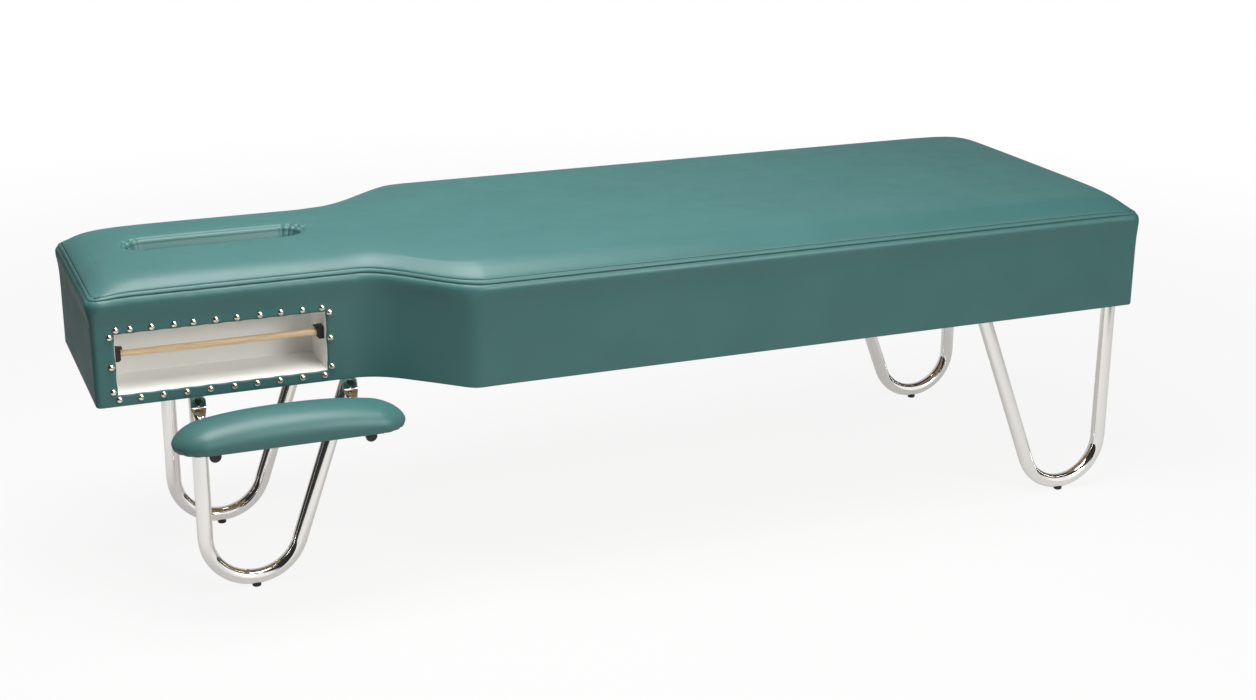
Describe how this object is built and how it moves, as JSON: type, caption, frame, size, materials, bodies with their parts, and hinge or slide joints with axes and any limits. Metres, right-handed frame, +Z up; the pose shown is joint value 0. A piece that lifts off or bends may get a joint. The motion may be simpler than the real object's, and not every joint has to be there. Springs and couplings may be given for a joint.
{
  "type": "chiropractic table",
  "caption": "Padded bench with a narrow head section, face slot, paper roll bay, low armrests and bent chrome tube legs, for lying on during hands-on treatment.",
  "frame": {"origin": "on the floor under the middle of the bench's box", "axes": "+X along the bench from the head end to the foot end, +Y away from the side with the paper bay, +Z up"},
  "size_m": [1.838, 0.616, 0.566],
  "materials": {
    "plywood": "birch plywood, unfinished",
    "white_laminate": "hardboard with a smooth white face",
    "black_plastic": "matt black",
    "nickel": "polished nickel plate",
    "dowel": "sanded birch dowel",
    "foam": "open cell foam",
    "padded_vinyl": "teal vinyl over foam, satin",
    "vinyl": "teal upholstery vinyl, satin",
    "chrome": "bright chrome plate on steel tube",
    "zinc_steel": "zinc plate",
    "black_steel": "black oxide"
  },
  "bodies": {
    "bench": {"bottom_board": "plywood", "deck_board": "plywood", "side_rail_near": "plywood", "side_rail_far": "plywood", "shoulder_rail_near": "plywood", "shoulder_rail_far": "plywood", "head_rail_near": "plywood", "head_rail_far": "plywood", "head_end_rail": "plywood", "foot_end_rail": "plywood", "bay_post": "plywood", "slot_brace_head": "plywood", "slot_brace_foot": "plywood", "brace_mid": "plywood", "brace_foot": "plywood", "slot_collar": "plywood", "arm_board_near": "plywood", "arm_board_far": "plywood", "bay_floor": "white_laminate", "bay_back": "white_laminate", "bay_ceiling": "white_laminate", "bay_end_head": "white_laminate", "bay_end_foot": "white_laminate", "rod_socket_head": "black_plastic", "rod_socket_foot": "black_plastic", "glide_head_near": "black_plastic", "glide_head_far": "black_plastic", "glide_foot_near": "black_plastic", "glide_foot_far": "black_plastic", "arm_plug_near_head": "black_plastic", "arm_plug_near_foot": "black_plastic", "arm_plug_far_head": "black_plastic", "arm_plug_far_foot": "black_plastic", "bay_nails": "nickel", "foam_core": "foam", "top_cushion": "padded_vinyl", "arm_pad_near": "padded_vinyl", "arm_pad_far": "padded_vinyl", "side_band": "vinyl", "face_slot_lining": "vinyl", "leg_head_near": "chrome", "leg_head_far": "chrome", "leg_foot_near": "chrome", "leg_foot_far": "chrome", "arm_tube_near_head": "chrome", "arm_tube_near_foot": "chrome", "arm_tube_far_head": "chrome", "arm_tube_far_foot": "chrome", "plate_head_near": "zinc_steel", "plate_head_far": "zinc_steel", "plate_foot_near": "zinc_steel", "plate_foot_far": "zinc_steel", "plate_screws": "zinc_steel", "socket_screws": "zinc_steel", "arm_nuts": "zinc_steel", "arm_screws": "zinc_steel", "arm_bolts": "black_steel"},
    "rod": {"paper_rod": "dowel"}
  },
  "joints": [
    {"name": "paper_rod_spin", "type": "hinge", "parent": "bench", "child": "rod", "pos_m": [-0.7145, -0.158, 0.434], "axis": [1, 0, 0], "continuous": true}
  ]
}
